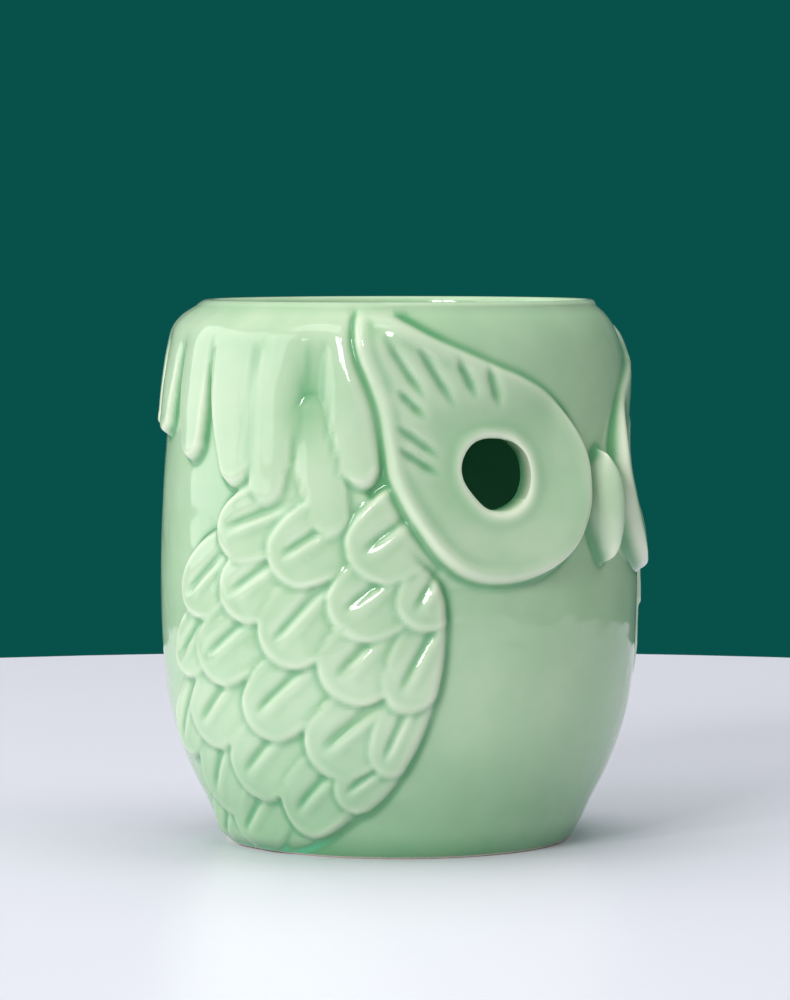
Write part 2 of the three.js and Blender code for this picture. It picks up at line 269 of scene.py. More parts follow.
def discRelief():
    depth = insideBy(closedOutline(unrolled(disc["outline"]), 180), along, up)
    middle = unrolled(disc["middle"])
    turn = turnMap - math.radians(disc["middle"][0])
    out = disc["flat"] + disc["tilt"] * (disc["middle"][1] - up) + disc["flare"] * (1 - smoothStep(up, 61, 78))
    plate = out / np.cos(np.clip(turn, -1.2, 1.2)) - plain
    besideBeak = disc["besideBeak"] + (disc["brow"] - disc["besideBeak"]) * smoothStep(up, 78, 102)
    besideWing = disc["besideWing"] + (disc["brow"] - disc["besideWing"]) * smoothStep(up, 58, 84)
    blend = smoothStep(turn, -0.25, 0.25)
    limit = besideBeak * (1 - blend) + besideWing * blend
    ear = disc["ear"] * smoothStep(up, 93, 103) * smoothStep(turn, 0.1, 0.4)
    least = disc["brow"] * smoothStep(up, 82, 98) + ear
    limit = limit + ear
    soft, tight = disc["soft"], disc["mostProud"]
    face = np.log(np.exp(soft * np.clip(plate, -6, 9)) + np.exp(soft * least)) / soft - 0.1
    face = limit - np.log1p(np.exp(np.clip((limit - face) * tight, -30, 30))) / tight + 0.05
    away = np.hypot(along - middle[0], up - middle[1])
    face -= disc["hollow"] * np.exp(-(away / disc["hollowRadius"]) ** 2)
    behind = smoothStep(turn, -0.1, 0.3)  # the bead is strongest beside the wing
    bead = disc["bead"] * (0.08 + 0.92 * behind) * np.exp(-((depth - disc["beadIn"]) / disc["beadWidth"]) ** 2)
    face += bead
    for outer, inner in disc["lashes"]:
        a, b = unrolled(outer), unrolled(inner)
        d = b - a
        t = ((along - a[0]) * d[0] + (up - a[1]) * d[1]) / (d @ d)
        off = np.hypot(along - a[0] - np.clip(t, 0, 1) * d[0], up - a[1] - np.clip(t, 0, 1) * d[1])
        fade = smoothStep(t, -0.15, 0.3) * (1 - smoothStep(t, 0.6, 1.1))
        face -= disc["lashDepth"] * fade * np.exp(-(off / (disc["lashWidth"] * (0.4 + 0.6 * fade))) ** 2)
    low, high = disc["edge"]
    edge = low + (high - low) * smoothStep(up, 76, 92)
    return np.where(depth > 0, face * roundOver(depth, edge), 0), depth


# Eyes.

eye = {
    "angle": 32, "height": 76.5,
    "outline": [(0.3, 7.1), (3.7, 6.4), (6.1, 4.2), (7.1, 1.0), (6.9, -2.4), (5.5, -5.2), (2.9, -6.8),
                (0.2, -7.0), (-2.0, -6.2), (-4.3, -3.6), (-5.9, -0.8), (-6.1, 2.2), (-4.9, 5.0), (-2.8, 6.7)],
    "roundOver": 1.1, "rim": 0.3, "rimWidth": 1.3,  # its rounded edge and the faint raised rim round it
    "flare": 0.3,  # how much wider the hole is on the inside
}


def eyePlaces(count):  # outline as (aside, height) about the eye's own axis, aside towards the beak
    return closedOutline(eye["outline"], count)


def eyeRelief():
    centre = unrolled((eye["angle"], eye["height"]))
    aside = (centre[0] - along) * disc["flat"] / body["belly"]
    out = -insideBy(eyePlaces(72), aside, up - centre[1])  # distance outside the hole
    lowered = eye["roundOver"] * (1 - roundOver(out, eye["roundOver"]))
    raised = eye["rim"] * np.exp(-((out - eye["roundOver"]) / eye["rimWidth"]) ** 2)
    return np.where(out > -3, raised - lowered, 0), out


# Beak.

beak = {
    # height, then half its width or how proud it stands
    "halfWidth": [(58.4, 0.2), (60, 1.8), (63, 3.5), (67, 5.0), (71, 5.6), (75, 5.0), (78, 3.5), (80.6, 0.4)],
    "proud": [(58.4, 2.6), (60.5, 4.3), (64, 5.4), (68, 6.0), (72, 6.0), (76, 5.2), (80.6, 2.6)],
    "crown": 0.55,  # less makes it flatter across
}


def beakRelief():
    half = np.maximum(through(beak["halfWidth"], up), 0.05)
    proud = through(beak["proud"], up)
    share = np.clip(along / half, 0, 1)
    foot, top = beak["halfWidth"][0][0], beak["halfWidth"][-1][0]
    inRange = (up > foot) & (up < top) & (along < half)
    return np.where(inRange, proud * (0.5 + 0.5 * np.cos(math.pi * share)) ** beak["crown"], 0)


# Wings and cape.

wing = {
    "outline": [(52, 61), (46, 55), (44.6, 48), (45.4, 38), (48.4, 28.5), (52.4, 20.8), (58.6, 13.5),
                (68.7, 7.6), (80, 3.2), (92, 0.2), (108, -3), (125, -2), (123.7, 14), (118, 30), (114.2, 42.4),
                (109, 52), (103.5, 60), (97, 69), (93, 76), (80, 80), (66, 76), (57, 68)],
    "proud": 1.3, "edge": 2.0,
    # each feather: degrees from the front, height, degrees below level, length and width shares
    "feathers": [
        (91, 68.0, 22, 0.95, 0.95), (76.4, 64.2, 34, 1.0, 1.0), (57.5, 65.8, 38, 1.05, 1.05),
        (105.5, 56.0, 42, 0.9, 0.9), (90.0, 56.7, 35, 1.0, 1.0), (61.7, 54.4, 38, 1.05, 1.05),
        (48.6, 55.2, 59, 0.95, 0.85), (98.2, 44.0, 38, 1.0, 1.0), (79.2, 48.8, 48, 1.05, 1.05),
        (64.0, 42.5, 46, 1.1, 1.1), (50.9, 41.5, 62, 1.25, 0.85), (110, 43.5, 50, 0.9, 0.8),
        (103.6, 31.0, 46, 1.0, 1.0), (84.0, 34.2, 42, 1.1, 1.0), (67.9, 27.0, 40, 1.1, 1.05),
        (56.2, 26.0, 66, 0.95, 0.7), (91.0, 21.5, 42, 1.1, 1.0), (78.0, 14.2, 42, 1.1, 0.95),
        (107, 17.5, 53, 1.1, 0.95), (116, 27, 60, 0.9, 0.7), (99.5, 8.5, 40, 1.05, 0.9),
        (64.5, 16.8, 36, 0.8, 0.7), (114, 6, 46, 1.0, 0.8),
    ],
    "length": 9.6, "tuckedUnder": 2.4, "width": 8.3, "lift": 1.8, "quillAside": 1.7,
    "form": {"square": 0.0, "narrow": 0.0, "quill": 0.5, "rise": 0.25, "flank": 0.12, "edge": 0.14},
}
cape = {
    # each lock: where its top and its tip are, in degrees and height, and its half width
    "locks": [
        ((67.6, 108), (62.2, 73.5), 6.0), ((82.6, 108), (86.6, 69.4), 6.4),
        ((100.4, 108), (94.4, 73.2), 6.9), ((114.0, 108), (111.8, 78.2), 6.2),
        ((129.2, 108), (130.4, 82.8), 6.2), ((145.4, 108), (147.0, 83.6), 6.4),
        ((162.8, 108), (163.6, 84.4), 6.5), ((180.0, 108), (180.0, 84.8), 6.3),
    ],
    "tuckedLocks": [((75.8, 92.0), (69.4, 63.8), 5.9)],  # these come out from between the others
    "hollow": (76.8, 90.5), "hollowWidth": 3.8, "hollowLength": 8.0, "hollowDepth": 0.6,
    "under": 1.3,  # how thick the cape is between the front locks
    "sway": 0.9,  # how far the locks bend aside halfway down
    "lift": 2.3, "band": 2.35,
    "form": {"square": 0.3, "narrow": 0.24, "quill": 0.0, "flank": 0.26, "edge": 0.17},
    "rise": 0.9, "tuckedRise": 0.5,  # how high a lock is at its root, as a share of its tip
}


# A lobe from -1 to 1 each way, root at -1 and tip at +1, that rises from its root to its tip. Square
# is how boxy its outline is, narrow how much it tapers, and flank how much lower its sides are.
def lobeTemplate(name, square, narrow, quill, rise, flank, edge, cells=32):
    line = np.sin(np.linspace(-1, 1, cells + 1) * math.pi / 2)  # closest together at the edges
    x, y = np.meshgrid(line, line, indexing="ij")
    cut = (1 - square) / 2
    u, v = x * np.sqrt(1 - cut * y * y), y * np.sqrt(1 - cut * x * x)
    h = rise + (1 - rise) * smoothStep(x, -1, 0.7)
    margin = np.exp(-((x - 0.87) / 0.07) ** 2)
    margin = margin + np.exp(-((np.abs(y) - 0.86) / 0.07) ** 2) * smoothStep(x, -0.5, 0.3)
    h = h * (1 - flank * y * y) + 0.09 * np.minimum(margin, 1)  # a fine raised margin
    if quill:
        window = smoothStep(u, -0.8, -0.3) * (1 - smoothStep(u, 0.35, 0.75))
        h -= quill * window * (np.exp(-((v - 0.2) / 0.11) ** 2) - 0.4 * np.exp(-((v - 0.02) / 0.12) ** 2))
    h *= roundOver(1 - np.abs(x), edge) * roundOver(1 - np.abs(y), edge)
    v = v * (1 - narrow * smoothStep(u, -0.6, 1.0))
    points = np.stack([u, v, h], -1).reshape(-1, 3)
    n = cells + 1
    corners = [i * n + j for i in range(cells) for j in range(cells)]
    mesh = bpy.data.meshes.new(name)
    mesh.from_pydata(points.tolist(), [], [(c, c + n, c + n + 1, c + 1) for c in corners])
    return placed(name, mesh)


# Geometry Nodes: sets one lobe on every point, turned and sized by the point's own values.
def lobeTree():
    tree, given = newGroup("layLobes", [
        ("Points", "Geometry", None), ("Lobe", "Object", None), ("Length", "Float", 1.0),
        ("Width", "Float", 1.0), ("Lift", "Float", 1.8), ("Glaze", "Material", None)], "Lobes")
    turn, share = (addNode(tree, "GeometryNodeInputNamedAttribute", {"Name": name}, data_type=kind)
                   for name, kind in (("turn", "FLOAT"), ("share", "FLOAT_VECTOR")))
    lobe = addNode(tree, "GeometryNodeObjectInfo", {"Object": given["Lobe"]}).outputs["Geometry"]
    spin = addNode(tree, "ShaderNodeCombineXYZ", {"Z": turn})
    size = addNode(tree, "ShaderNodeCombineXYZ",
                   {"X": given["Length"], "Y": given["Width"], "Z": given["Lift"]})
    scale = addNode(tree, "ShaderNodeVectorMath", {0: size, 1: share}, operation="MULTIPLY")
    spin = addNode(tree, "FunctionNodeEulerToRotation", {0: spin})
    laid = addNode(tree, "GeometryNodeInstanceOnPoints",
                   {"Points": given["Points"], "Instance": lobe, "Rotation": spin, "Scale": scale})
    real = addNode(tree, "GeometryNodeRealizeInstances", {0: laid})
    done = addNode(tree, "GeometryNodeSetMaterial", {"Geometry": real, "Material": given["Glaze"]})
    addNode(tree, "NodeGroupOutput", {"Lobes": done})
    return tree


def laidLobes(name, places, tree, values):  # places: along, up, turn, then size each way
    points = bpy.data.meshes.new(name)
    points.from_pydata([(s, z, 0) for s, z, *_ in places], [], [])
    points.attributes.new("turn", "FLOAT", "POINT").data.foreach_set("value", [p[2] for p in places])
    shares = [x for p in places for x in p[3:6]]
    points.attributes.new("share", "FLOAT_VECTOR", "POINT").data.foreach_set("vector", shares)
    item = placed(name, points)
    runGroup(item, "lobes", tree, values)
    mesh = finalMesh(item)
    corners = [Vector(c) for c in cornersOf(mesh)]
    polygons = [tuple(p.vertices) for p in mesh.polygons]
    bpy.data.objects.remove(item)
    bpy.data.meshes.remove(mesh)
    return BVHTree.FromPolygons(corners, polygons)


def heightsOver(lobes, region, aside=0):  # top of the lobes over each place, 0 where there is none
    heights = np.zeros(along.shape)
    down = Vector((0, 0, -1))
    place = along - aside
    for i, j in np.argwhere(region):
        hit = lobes.ray_cast(Vector((place[i, j], up[i, j], 50)), down)
        if hit[0] is not None:
            heights[i, j] = hit[0].z
    return heights


def featherHeights(tree, glaze):
    template = lobeTemplate("featherTemplate", **wing["form"])
    places = []
    for angle, height, below, long, wide in wing["feathers"]:
        s, z = unrolled((angle, height))
        slope = math.radians(below)
        aside, tucked = wing["quillAside"] * wide, wing["tuckedUnder"]
        s, z = s - aside * math.sin(slope), z - aside * math.cos(slope)
        s, z = s - tucked * math.cos(slope), z + tucked * math.sin(slope)
        places.append((s, z, -slope, wing["length"] * long + tucked, wing["width"] * wide, 1))
    values = {"Lobe": template, "Length": 1.0, "Width": 1.0, "Lift": wing["lift"], "Glaze": glaze}
    lobes = laidLobes("feathers", places, tree, values)
    heights = heightsOver(lobes, (along > 28) & (along < 112) & (up < 84))
    bpy.data.objects.remove(template)
    return heights


def lockHeights(tree, glaze):
    heights = []
    sway = cape["sway"] * np.sin(np.clip((up - 68) / 38, 0, 1) * math.pi)
    s, z = unrolled(cape["hollow"])
    dip = np.exp(-((along - s) / cape["hollowWidth"]) ** 2 - ((up - z) / cape["hollowLength"]) ** 2)
    for rise, dipped, locks in ((cape["rise"], 1, cape["locks"]), (cape["tuckedRise"], 0, cape["tuckedLocks"])):
        template = lobeTemplate("lockTemplate", rise=rise, **cape["form"])
        places = []
        for top, tip, half in locks:
            a, b = unrolled(top), unrolled(tip)
            d = b - a
            places.append((*(a + b) / 2, math.atan2(d[1], d[0]), np.hypot(*d) / 2, half, 1))
        values = {"Lobe": template, "Length": 1.0, "Width": 1.0, "Lift": cape["lift"], "Glaze": glaze}
        lobes = laidLobes("locks", places, tree, values)
        tops = heightsOver(lobes, (along > 48) & (up > 62), sway)
        heights.append(tops * (1 - dipped * cape["hollowDepth"] * dip))
        bpy.data.objects.remove(template)
    under = cape["under"] * smoothStep(up, 79, 90) * smoothStep(along, 48, 54) * (1 - smoothStep(along, 78, 84))
    heights[0] = np.maximum(heights[0], under * (1 - 0.5 * dip))
    return melted(*heights), dip


# Doorway, chamber and dish.

door = {"half": 23.1, "straight": 21, "floor": 5.5, "roundOver": 1.3}
inside = {"wall": 6.0, "floor": 5.5, "dishDepth": 18, "dishThickness": 4}


def doorDistance(x, z):  # how far outside the doorway's outline, negative inside
    above = z - door["floor"] - door["straight"]
    return np.hypot(x, np.maximum(above, 0)) - door["half"]


# How the glaze ran: how much it softens the clay's edges, how wide a crease it runs into, how deep one
# has to be to count, and how strongly it thins or pools at each place. Foot and hollow also carry painted
# shade: they paint the side deeper green towards the foot and in the cape's hollow, partly thicker glaze
# and partly shade.
glazeRun = {
    "soften": 0.42, "spread": 0.8, "depth": 0.15,
    "edges": 0.34, "creases": 1.4, "fullAt": 1.1,
    "raised": 0.18, "foot": 0.5, "hollow": 0.6, "eyeRim": 0.8,
}


def makeRelief(glaze):
    tree = lobeTree()
    face, discDepth = discRelief()
    eyeShape, eyeOut = eyeRelief()
    feathers = featherHeights(tree, glaze)
    locks, dip = lockHeights(tree, glaze)
    wingDepth = insideBy(closedOutline(unrolled(wing["outline"]), 120), along, up)
    wingPlate = np.where(wingDepth > 0, wing["proud"] * roundOver(wingDepth, wing["edge"]), 0)
    feathered = np.where(feathers > 0, feathers + 0.6 * wing["proud"], 0)  # they lie into the wing
    # the feathers end in one clean edge in front, and in scallops behind
    front = (1 - smoothStep(along, 66, 82)) * (1 - smoothStep(up, 54, 64))
    feathered *= 1 - front * (1 - roundOver(np.maximum(wingDepth + 0.4, 0), 1.8))
    sides = np.maximum(wingPlate, feathered)
    band = cape["band"] * smoothStep(up, 95, 105.5) * smoothStep(along, 48, 56)
    hood = np.log(np.exp(3 * band) + np.exp(3 * locks) - 1) / 3  # the locks melt into the band at the top
    sides = melted(sides, hood)
    sides *= 0.35 + 0.65 * smoothStep(-discDepth, -0.6, 2.2)  # a crease beside the disc
    relief = np.where(discDepth > 0, face, sides * (discDepth <= 0))
    relief = np.maximum(relief, sides * smoothStep(-discDepth, -1.0, 0))
    relief = np.maximum(relief, beakRelief())
    relief = relief + np.where(discDepth > 0, eyeShape, 0)
    relief *= np.sqrt(1 - np.clip((up - 103) / 6.6, 0, 1) ** 2)  # rounds over into the lip
    relief *= 0.25 + 0.75 * smoothStep(up, 0, 3.5)
    x = plain * np.sin(turnMap)
    out = np.where(turnMap > math.pi / 2, doorDistance(x, up), 99)
    lowered = door["roundOver"] * (1 - roundOver(np.maximum(out, 0), door["roundOver"]))
    relief -= lowered * (up > door["floor"] - 3)
    cast = blurred(relief, glazeRun["soften"])
    pool = (blurred(relief, glazeRun["spread"]) - cast) / glazeRun["depth"]
    pooled = glazeRun["creases"] * (1 - np.exp(-np.maximum(pool, 0) / glazeRun["fullAt"]))
    pool = np.where(pool < 0, glazeRun["edges"] * pool, pooled)
    pool -= glazeRun["raised"] * smoothStep(cast, 0.4, 1.6) * (1 - smoothStep(cast, 3, 4.6))
    # painted shade: deeper green low on the side and in the cape's hollow, on top of the glaze that pools there
    pool += glazeRun["foot"] * (1 - smoothStep(up, 6, 32)) + glazeRun["hollow"] * dip
    rimThin = np.exp(-(np.maximum(eyeOut, 0) / 1.2) ** 2) * (discDepth > 0)
    pool -= glazeRun["eyeRim"] * rimThin
    return cast, pool


def sampled(field, s, z):  # bilinear reading of a map
    i = np.clip(s / flat["step"], 0, len(sLine) - 1.001)
    j = np.clip(z / flat["step"], 0, len(zLine) - 1.001)
    i0, j0 = i.astype(int), j.astype(int)
    a, b = i - i0, j - j0
    return ((field[i0, j0] * (1 - a) + field[i0 + 1, j0] * a) * (1 - b)
            + (field[i0, j0 + 1] * (1 - a) + field[i0 + 1, j0 + 1] * a) * b)


# The outside as rings of points from the middle of the underside, up the side, over the lip and down
# into the middle of the dish. Rings inside the lip have half as many points.
def outsideRings(cast):
    half, start = [], 0
    for end, step in body["columns"]:
        length = math.radians(end - start) * body["belly"]
        half += list(np.linspace(start, end, round(length / step), endpoint=False))
        start = end
    if len(half) % 2:
        half.insert(1, (half[0] + half[1]) / 2)
    half = np.radians(half)
    turns = np.concatenate([half, 2 * math.pi - np.concatenate([[math.pi], half[:0:-1]])])
    away = np.minimum(turns, 2 * math.pi - turns) * body["belly"]
    rings = []

    def addRing(radius, z, relief, every):
        t = turns[::every]
        r = radius + (sampled(cast, away[::every], np.full(len(t), z)) if relief else 0)
        rings.append(np.stack([r * np.sin(t), -r * np.cos(t), np.full(len(t), z)], -1))

    foot = body["side"][0][1]
    for radius in (foot * 0.35, foot * 0.7, foot - 1.2):
        addRing(radius, 0, False, 4 if radius < foot * 0.5 else 2)
    addRing(foot - 0.35, 0, False, 1)
    for z in np.arange(0.35, sideTop - 0.4, body["rowStep"]):
        addRing(sideAt(z), z, True, 1)
    for turn in np.radians(np.linspace(0, 172, 12)):
        r = body["mouth"] + body["lipRound"] * (1 + math.cos(turn))
        addRing(r, sideTop + body["lipRound"] * math.sin(turn), turn < 1.3, 1)
    mouth = body["mouth"]
    bottom = body["height"] - inside["dishDepth"]
    for share, lift in ((0.995, 0.74), (0.98, 0.6), (0.955, 0.46), (0.915, 0.33), (0.86, 0.215),
                        (0.79, 0.125), (0.7, 0.062), (0.6, 0.026), (0.45, 0.007)):
        addRing(mouth * share, bottom + inside["dishDepth"] * lift, False, 2)
    for share in (0.3, 0.15):
        addRing(mouth * share, bottom, False, 4)
    return rings, bottom


def ringsToMesh(name, rings, first=None, last=None):  # without end points the rings close on themselves
    closed = first is None
    if closed:
        rings = [*rings, rings[0]]
    points = [*([] if closed else [first]), *np.concatenate(rings).tolist(), *([] if closed else [last])]
    starts = np.cumsum([0 if closed else 1] + [len(r) for r in rings])
    faces = []
    for k in range(len(rings) - 1):
        a, na, b, nb = starts[k], len(rings[k]), starts[k + 1], len(rings[k + 1])
        if na == nb:
            faces += [(a + i, a + (i + 1) % na, b + (i + 1) % na, b + i) for i in range(na)]
        elif na > nb:  # two steps of the outer ring meet one of the inner
            for i in range(nb):
                p, q, r = a + 2 * i, a + 2 * i + 1, a + (2 * i + 2) % na
                faces += [(p, q, b + i), (q, b + (i + 1) % nb, b + i), (q, r, b + (i + 1) % nb)]
        else:
            for i in range(na):
                p, q, r = b + 2 * i, b + 2 * i + 1, b + (2 * i + 2) % nb
                faces += [(a + i, q, p), (a + i, a + (i + 1) % na, q), (a + (i + 1) % na, r, q)]
    if closed:
        item = makeMesh(name, points, faces)
        mergeDoubles(item)
        return item
    n, m = len(rings[0]), len(rings[-1])
    faces += [(0, 1 + (i + 1) % n, 1 + i) for i in range(n)]
    end = len(points) - 1
    faces += [(starts[-2] + i, starts[-2] + (i + 1) % m, end) for i in range(m)]
    return makeMesh(name, points, faces)


def mergeDoubles(item):
    work = bmesh.new()
    work.from_mesh(item.data)
    bmesh.ops.remove_doubles(work, verts=work.verts, dist=1e-7)
    bmesh.ops.recalc_face_normals(work, faces=work.faces)
    work.to_mesh(item.data)
    work.free()
    item.data.shade_smooth()


# Halves the most curved faces of the side each way, and sets their new points on the true surface.
def refineCurved(item, cast, count, reach):
    gradient = np.gradient(cast, flat["step"])
    curved = np.hypot(np.gradient(gradient[0], flat["step"])[0], np.gradient(gradient[1], flat["step"])[1])
    steep = np.minimum(np.hypot(*gradient), 2.5)
    curved = blurred(np.minimum(curved, 2.5) + 0.7 * steep, reach)
    work = bmesh.new()
    work.from_mesh(item.data)
    centres = np.array([f.calc_center_median() for f in work.faces]) / mm
    s = np.abs(np.arctan2(centres[:, 0], -centres[:, 1])) * body["belly"]
    z = centres[:, 2]
    onSide = np.hypot(centres[:, 0], centres[:, 1]) > sideAt(z) - 1.5
    onSide &= (z > 0.6) & (z < sideTop - 1.5)
    onFace = (z > 54) * (s < 58)  # this comes first
    need = np.where(onSide, sampled(curved, s, z) * (1 + 0.6 * onFace), -1)
    chosen = np.argsort(-need)[:count]
    work.faces.ensure_lookup_table()
    edges = {e for i in chosen for e in work.faces[int(i)].edges}
    bmesh.ops.subdivide_edges(work, edges=list(edges), cuts=1, use_grid_fill=True)
    work.to_mesh(item.data)
    work.free()
    corners = cornersOf(item.data) / mm
    x, y, z = corners.T
    radius = np.hypot(x, y)
    onSide = (radius > sideAt(z) - 1.5) & (z > 0.5) & (z < sideTop - 0.8)
    true = sideAt(z) + sampled(cast, np.abs(np.arctan2(x, -y)) * body["belly"], z)
    corners[:, :2] *= np.where(onSide, true / np.maximum(radius, 1), 1)[:, None]
    item.data.vertices.foreach_set("co", (corners * mm).ravel())
    item.data.update()
    item.data.shade_smooth()


def arcOf(r, z, radius, start, end, count):
    turns = np.radians(np.linspace(start, end, count))
    return [(r + radius * math.cos(t), z + radius * math.sin(t)) for t in turns]


def turnedRings(profile, count):
    turns = np.linspace(0, 2 * math.pi, count, endpoint=False)
    return [np.stack([r * np.sin(turns), -r * np.cos(turns), np.full(count, z)], -1) for r, z in profile]


def chamberCutter():
    bottom = body["height"] - inside["dishDepth"]
    ceiling = bottom - inside["dishThickness"]
    foot, fold = inside["floor"] + 4, bottom + inside["dishDepth"] * 0.25
    mouth = body["mouth"]

    def wallAt(z):
        return sideAt(z) - inside["wall"]

    profile = [(12, inside["floor"]), (wallAt(foot) - 3.4, inside["floor"]),
               (wallAt(foot) - 1.0, inside["floor"] + 1.2)]
    profile += [(wallAt(z), z) for z in np.linspace(foot, fold, 22)]
    profile += [((mouth + wallAt(fold)) / 2, fold + 2), (mouth * 0.8 + inside["dishThickness"], bottom),
                (mouth * 0.7, ceiling + inside["dishDepth"] * 0.05), (12, ceiling)]
    return ringsToMesh("chamberCutter", turnedRings(profile, 120), (0, 0, inside["floor"]), (0, 0, ceiling))


def prismCutter(name, outline, place):  # (aside, height) pairs, swept from place(.., 0) to place(.., 1)
    n = len(outline)
    points = [place(a, h, end) for end in (0, 1) for a, h in outline]
    faces = [tuple(range(n))[::-1], tuple(range(n, 2 * n))]
    faces += [(i, (i + 1) % n, n + (i + 1) % n, n + i) for i in range(n)]
    item = makeMesh(name, points, faces)
    mergeDoubles(item)
    return item


def eyeCutter(side):
    turn = math.radians(eye["angle"])
    out = np.array((side * math.sin(turn), -math.cos(turn), 0))
    aside = np.array((-side * math.cos(turn), -math.sin(turn), 0))

    def place(a, h, end):
        a *= 1 + eye["flare"] * (1 - end)
        return (out * (33 + 22 * end) + aside * a + np.array((0, 0, eye["height"] + h))).tolist()

    return prismCutter(f"eyeCutter{side}", eyePlaces(64), place)


def doorCutter():
    outline = [(-door["half"], door["floor"]), (door["half"], door["floor"])]
    outline += arcOf(0, door["floor"] + door["straight"], door["half"], 0, 180, 49)
    return prismCutter("doorCutter", outline, lambda a, h, end: (a, 24 + 36 * end, h))


def cutAway(item, cutters):
    for cutter in cutters:
        modifier = item.modifiers.new("cut", "BOOLEAN")
        modifier.object = cutter
        modifier.operation = "DIFFERENCE"
        modifier.solver = "MANIFOLD"
    mesh = finalMesh(item)
    item.modifiers.clear()
    item.data = mesh
    for cutter in cutters:
        bpy.data.objects.remove(cutter)


# Celadon glaze.

glazeColours = {
    "thin": "e6ecd5",  # the pale body shows through where the glaze ran off an edge
    "even": "a7c6a1",
    "deep": "64a070",  # where it pooled
    "inside": "5cb98a",  # thick and wet-looking in the chamber
}
# depth of the glaze at each place, where 0.1 shows the thin colour, 0.5 the even one and 0.86 the deep one
glazeDepth = {
    "even": 0.5, "relief": 0.32, "limits": (-1.25, 1.12),
    "lip": 0.08, "dish": 0.52, "dishMiddle": 0.3, "chamber": 0.97, "foot": 0.14,
}


# Celadon: a transparent green glaze over pale stoneware, dipped and fired glossy. It is pale on edges
# and deep green wherever it pools.
def celadonGlaze():
    material, tree, place = newMaterial("celadonGlaze")
    pool = addNode(tree, "ShaderNodeAttribute", attribute_name="glazePool").outputs["Fac"]
    cloud = addNode(tree, "ShaderNodeTexNoise",
                    {"Vector": place, "Scale": 70, "Detail": 3, "Roughness": 0.55}).outputs["Fac"]
    cloud = addNode(tree, "ShaderNodeMapRange", {"Value": cloud, "From Min": 0.3, "From Max": 0.7,
                                                 "To Min": -0.035, "To Max": 0.035})
    depth = addNode(tree, "ShaderNodeMath", {0: pool, 1: cloud}, operation="ADD")
    ramp = addNode(tree, "ShaderNodeValToRGB", {"Fac": depth})
    stops = ramp.color_ramp.elements
    stops[0].position, stops[0].color = 0.1, linear(glazeColours["thin"])
    stops[1].position, stops[1].color = 0.5, linear(glazeColours["even"])
    for position, colour in ((0.86, "deep"), (1.0, "inside")):
        stop = stops.new(position)
        stop.color = linear(glazeColours[colour])
    # the glaze surface rolls gently over about 9 mm and has fine orange peel
    roll = addNode(tree, "ShaderNodeTexNoise", {"Vector": place, "Scale": 110, "Detail": 1}).outputs["Fac"]
    peel = addNode(tree, "ShaderNodeTexNoise", {"Vector": place, "Scale": 900, "Detail": 2}).outputs["Fac"]
    wave = addNode(tree, "ShaderNodeBump", {"Height": roll, "Strength": 0.4, "Distance": 0.0007})
    normal = addNode(tree, "ShaderNodeBump", {
        "Height": peel, "Strength": 0.12, "Distance": 0.00004, "Normal": wave})
    return shaded(material, {
        "Base Color": ramp.outputs["Color"], "Roughness": 0.06, "IOR": 1.52,
        "Subsurface Weight": 0.05, "Subsurface Radius": (0.6, 1.0, 0.7), "Subsurface Scale": 0.0012,
        "Normal": normal})


# Bare stoneware: the foot is wiped before firing and stays matt and pale.
def bareStoneware():
    material, tree, place = newMaterial("bareStoneware")
    grog = addNode(tree, "ShaderNodeTexNoise", {"Vector": place, "Scale": 1500, "Detail": 4}).outputs["Fac"]
    ramp = addNode(tree, "ShaderNodeValToRGB", {"Fac": grog})
    for stop, position, colour in zip(ramp.color_ramp.elements, (0.3, 0.7), ("cfc4b2", "e6ddcf")):
        stop.position, stop.color = position, linear(colour)
    normal = addNode(tree, "ShaderNodeBump", {"Height": grog, "Strength": 0.4, "Distance": 0.0001})
    return shaded(material, {"Base Color": ramp.outputs["Color"], "Roughness": 0.8, "Normal": normal})


def setGlazeDepth(mesh, pool, bottom):
    x, y, z = (cornersOf(mesh) / mm).T
    r = np.hypot(x, y)
    s = np.abs(np.arctan2(x, -y)) * body["belly"]
    even, rim = glazeDepth["even"], sideTop - 0.2
    dish = (z > 88) & (r < body["mouth"] + 0.2) & (z < rim)
    outer = (r > sideAt(z) - 2.6) & ~dish
    onSide = even + glazeDepth["relief"] * np.clip(sampled(pool, s, z), *glazeDepth["limits"])
    value = np.where(outer, onSide, even)
    value = np.where(z > rim, even - glazeDepth["lip"] * smoothStep(z, rim, body["height"] - 0.3), value)
    inDish = glazeDepth["dish"] + glazeDepth["dishMiddle"] * (1 - smoothStep(z, bottom, bottom + 9))
    value = np.where(dish, inDish, value)
    value = np.where(~outer & ~dish & (z < rim), glazeDepth["chamber"], value)
    value = np.where(outer & (z < 6), value + glazeDepth["foot"] * (1 - smoothStep(z, 0.5, 6)), value)
    mesh.attributes.new("glazePool", "FLOAT", "POINT").data.foreach_set("value", value.astype(np.float32))


def makeOwl():
    glaze = celadonGlaze()
    cast, pool = makeRelief(glaze)
    print("relief worked out, highest", round(float(cast.max()), 2), "mm")
    rings, bottom = outsideRings(cast)
    owl = ringsToMesh("owl", rings, (0, 0, 0), (0, 0, bottom))
    for count, reach in body["finer"]:
        refineCurved(owl, cast, count, reach)
    cutAway(owl, [chamberCutter(), eyeCutter(1), eyeCutter(-1), doorCutter()])
    mesh = owl.data
    mesh.shade_smooth()
    mesh.set_sharp_from_angle(angle=math.radians(50))
    setGlazeDepth(mesh, pool, bottom)
    mesh.materials.clear()
    mesh.materials.append(glaze)
    mesh.materials.append(bareStoneware())
    centres = np.empty(len(mesh.polygons) * 3)
    mesh.polygons.foreach_get("center", centres)
    wiped = (centres.reshape(-1, 3)[:, 2] < 0.45 * mm).astype(np.int32)  # the foot
    mesh.polygons.foreach_set("material_index", wiped)
    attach(owl, "owl")
    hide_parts("owl_body")
    mesh.calc_loop_triangles()
    print("owl made:", len(mesh.loop_triangles), "triangles")


makeOwl()


# Tealight.

